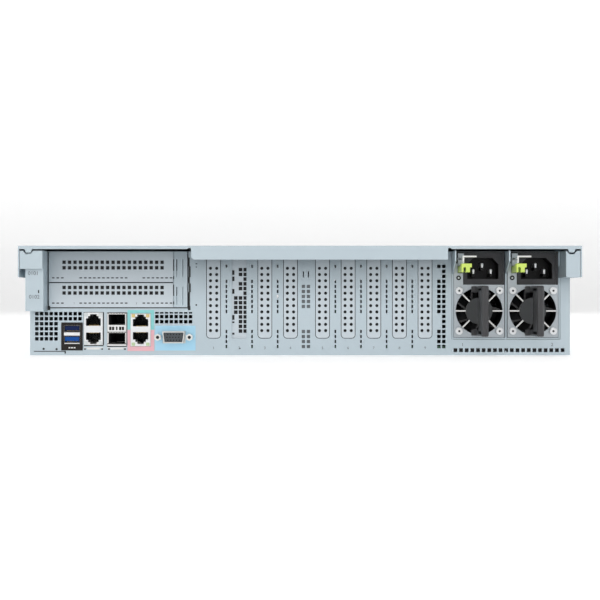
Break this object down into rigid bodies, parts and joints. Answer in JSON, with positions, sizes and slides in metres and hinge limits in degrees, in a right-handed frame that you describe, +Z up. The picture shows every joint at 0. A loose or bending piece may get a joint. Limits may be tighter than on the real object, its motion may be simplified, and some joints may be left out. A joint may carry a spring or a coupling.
{
  "type": "rack server",
  "caption": "Rack server, 2U, with perforated rear wall, port row, pull-out power supplies with fans, sliding lid and front drive trays.",
  "frame": {"origin": "centre of the underside, on the surface the server rests on", "axes": "+X to the left as seen from behind, +Y to the rear panel, +Z up"},
  "size_m": [0.4826, 0.8, 0.086],
  "materials": {
    "zinc_steel": "satin zinc plate",
    "grey_steel": "satin",
    "bright_steel": "bright",
    "port_metal": "bright",
    "drive_metal": "cast satin",
    "black_steel": "satin",
    "white_paint": "satin",
    "black_plastic": "matte",
    "dark_plastic": "matte",
    "grey_plastic": "matte",
    "blue_plastic": "matte",
    "lime_plastic": "satin",
    "green_board": "satin lacquer",
    "aluminium_fins": "mill"
  },
  "bodies": {
    "chassis": {"chassis_pan": "zinc_steel", "rear_wall": "zinc_steel", "slot_covers": "zinc_steel", "riser_cage": "zinc_steel", "port_panel": "zinc_steel", "psu_cage": "zinc_steel", "drive_cage": "zinc_steel", "backplane": "green_board", "front_grille": "black_steel", "left_ear": "black_plastic", "right_ear": "black_plastic", "fan_wall": "zinc_steel", "fan_frames": "black_plastic", "air_duct": "black_plastic", "motherboard": "green_board", "heatsinks": "aluminium_fins", "memory_modules": "green_board", "board_sockets": "black_plastic", "lan_port_stack": "port_metal", "sfp_cage": "port_metal", "service_port_stack": "port_metal", "vga_port": "port_metal", "usb_port_stack": "port_metal", "fasteners": "bright_steel"},
    "lid": {"top_cover": "zinc_steel"},
    "lid_latch": {"cover_latch": "blue_plastic"},
    "left_door": {"left_ear_latch": "black_plastic"},
    "right_door": {"right_ear_latch": "black_plastic"},
    "power_switch": {"power_button": "grey_plastic"},
    "locator_switch": {"id_button": "grey_plastic"},
    "fan_1": {"fan_rotor_1": "black_plastic"},
    "fan_2": {"fan_rotor_2": "black_plastic"},
    "fan_3": {"fan_rotor_3": "black_plastic"},
    "fan_4": {"fan_rotor_4": "black_plastic"},
    "psu_1": {"psu_1_case": "grey_steel", "psu_1_inlet": "black_plastic", "psu_1_guard": "white_paint", "psu_1_handle": "black_plastic"},
    "psu_1_fan": {"psu_1_rotor": "dark_plastic"},
    "psu_1_release": {"psu_1_latch": "lime_plastic"},
    "psu_1_cord_wire": {"psu_1_retainer": "white_paint"},
    "psu_2": {"psu_2_case": "grey_steel", "psu_2_inlet": "black_plastic", "psu_2_guard": "white_paint", "psu_2_handle": "black_plastic"},
    "psu_2_fan": {"psu_2_rotor": "dark_plastic"},
    "psu_2_release": {"psu_2_latch": "lime_plastic"},
    "psu_2_cord_wire": {"psu_2_retainer": "white_paint"},
    "tray_1": {"drive_tray_1": "black_plastic", "drive_1": "drive_metal"},
    "tray_1_handle": {"tray_lever_1": "blue_plastic"},
    "tray_2": {"drive_tray_2": "black_plastic", "drive_2": "drive_metal"},
    "tray_2_handle": {"tray_lever_2": "blue_plastic"},
    "tray_3": {"drive_tray_3": "black_plastic", "drive_3": "drive_metal"},
    "tray_3_handle": {"tray_lever_3": "blue_plastic"},
    "tray_4": {"drive_tray_4": "black_plastic", "drive_4": "drive_metal"},
    "tray_4_handle": {"tray_lever_4": "blue_plastic"}
  },
  "joints": [
    {"name": "lid_slide", "type": "slide", "parent": "chassis", "child": "lid", "axis": [0, 1, 0], "range_m": [0, 0.012]},
    {"name": "lid_latch_turn", "type": "hinge", "parent": "lid", "child": "lid_latch", "pos_m": [0, 0.107, 0.0833], "axis": [1, 0, 0], "range_deg": [0, 75]},
    {"name": "left_door_hinge", "type": "hinge", "parent": "chassis", "child": "left_door", "pos_m": [-0.2383, -0.398, 0.039], "axis": [0, 0, -1], "range_deg": [0, 80]},
    {"name": "right_door_hinge", "type": "hinge", "parent": "chassis", "child": "right_door", "pos_m": [0.2383, -0.398, 0.039], "axis": [0, 0, 1], "range_deg": [0, 80]},
    {"name": "power_press", "type": "slide", "parent": "chassis", "child": "power_switch", "axis": [0, 1, 0], "range_m": [0, 0.0008], "stiffness_N_per_m": 1500},
    {"name": "locator_press", "type": "slide", "parent": "chassis", "child": "locator_switch", "axis": [0, 1, 0], "range_m": [0, 0.0008], "stiffness_N_per_m": 1500},
    {"name": "fan_1_spin", "type": "hinge", "parent": "chassis", "child": "fan_1", "pos_m": [-0.156, -0.186, 0.0426], "axis": [0, 1, 0], "continuous": true},
    {"name": "fan_2_spin", "type": "hinge", "parent": "chassis", "child": "fan_2", "pos_m": [-0.052, -0.186, 0.0426], "axis": [0, 1, 0], "continuous": true},
    {"name": "fan_3_spin", "type": "hinge", "parent": "chassis", "child": "fan_3", "pos_m": [0.052, -0.186, 0.0426], "axis": [0, 1, 0], "continuous": true},
    {"name": "fan_4_spin", "type": "hinge", "parent": "chassis", "child": "fan_4", "pos_m": [0.156, -0.186, 0.0426], "axis": [0, 1, 0], "continuous": true},
    {"name": "psu_1_slide", "type": "slide", "parent": "chassis", "child": "psu_1", "axis": [0, 1, 0], "range_m": [0, 0.17]},
    {"name": "psu_1_fan_spin", "type": "hinge", "parent": "psu_1", "child": "psu_1_fan", "pos_m": [-0.142, 0.35, 0.0352], "axis": [0, 1, 0], "continuous": true},
    {"name": "psu_1_release_flex", "type": "hinge", "parent": "psu_1", "child": "psu_1_release", "pos_m": [-0.1261, 0.326, 0.068], "axis": [0, 0, 1], "range_deg": [0, 2.5], "stiffness_Nm_per_rad": 2},
    {"name": "psu_1_wire_turn", "type": "hinge", "parent": "psu_1", "child": "psu_1_cord_wire", "pos_m": [-0.127, 0.3683, 0.0763], "axis": [0, 0, 1], "range_deg": [0, 40]},
    {"name": "psu_2_slide", "type": "slide", "parent": "chassis", "child": "psu_2", "axis": [0, 1, 0], "range_m": [0, 0.17]},
    {"name": "psu_2_fan_spin", "type": "hinge", "parent": "psu_2", "child": "psu_2_fan", "pos_m": [-0.1845, 0.35, 0.0352], "axis": [0, 1, 0], "continuous": true},
    {"name": "psu_2_release_flex", "type": "hinge", "parent": "psu_2", "child": "psu_2_release", "pos_m": [-0.1686, 0.326, 0.068], "axis": [0, 0, 1], "range_deg": [0, 2.5], "stiffness_Nm_per_rad": 2},
    {"name": "psu_2_wire_turn", "type": "hinge", "parent": "psu_2", "child": "psu_2_cord_wire", "pos_m": [-0.1695, 0.3683, 0.0763], "axis": [0, 0, 1], "range_deg": [0, 40]},
    {"name": "tray_1_slide", "type": "slide", "parent": "chassis", "child": "tray_1", "axis": [0, -1, 0], "range_m": [0, 0.13]},
    {"name": "tray_1_lever_turn", "type": "hinge", "parent": "tray_1", "child": "tray_1_handle", "pos_m": [-0.2051, -0.3866, 0.015], "axis": [0, 0, -1], "range_deg": [0, 50]},
    {"name": "tray_2_slide", "type": "slide", "parent": "chassis", "child": "tray_2", "axis": [0, -1, 0], "range_m": [0, 0.13]},
    {"name": "tray_2_lever_turn", "type": "hinge", "parent": "tray_2", "child": "tray_2_handle", "pos_m": [-0.1001, -0.3866, 0.015], "axis": [0, 0, -1], "range_deg": [0, 50]},
    {"name": "tray_3_slide", "type": "slide", "parent": "chassis", "child": "tray_3", "axis": [0, -1, 0], "range_m": [0, 0.13]},
    {"name": "tray_3_lever_turn", "type": "hinge", "parent": "tray_3", "child": "tray_3_handle", "pos_m": [0.0049, -0.3866, 0.015], "axis": [0, 0, -1], "range_deg": [0, 50]},
    {"name": "tray_4_slide", "type": "slide", "parent": "chassis", "child": "tray_4", "axis": [0, -1, 0], "range_m": [0, 0.13]},
    {"name": "tray_4_lever_turn", "type": "hinge", "parent": "tray_4", "child": "tray_4_handle", "pos_m": [0.1099, -0.3866, 0.015], "axis": [0, 0, -1], "range_deg": [0, 50]}
  ],
  "couplings": [
    {"joint": "lid_latch_turn", "follows": "lid_slide", "rad_per_m": 109}
  ]
}
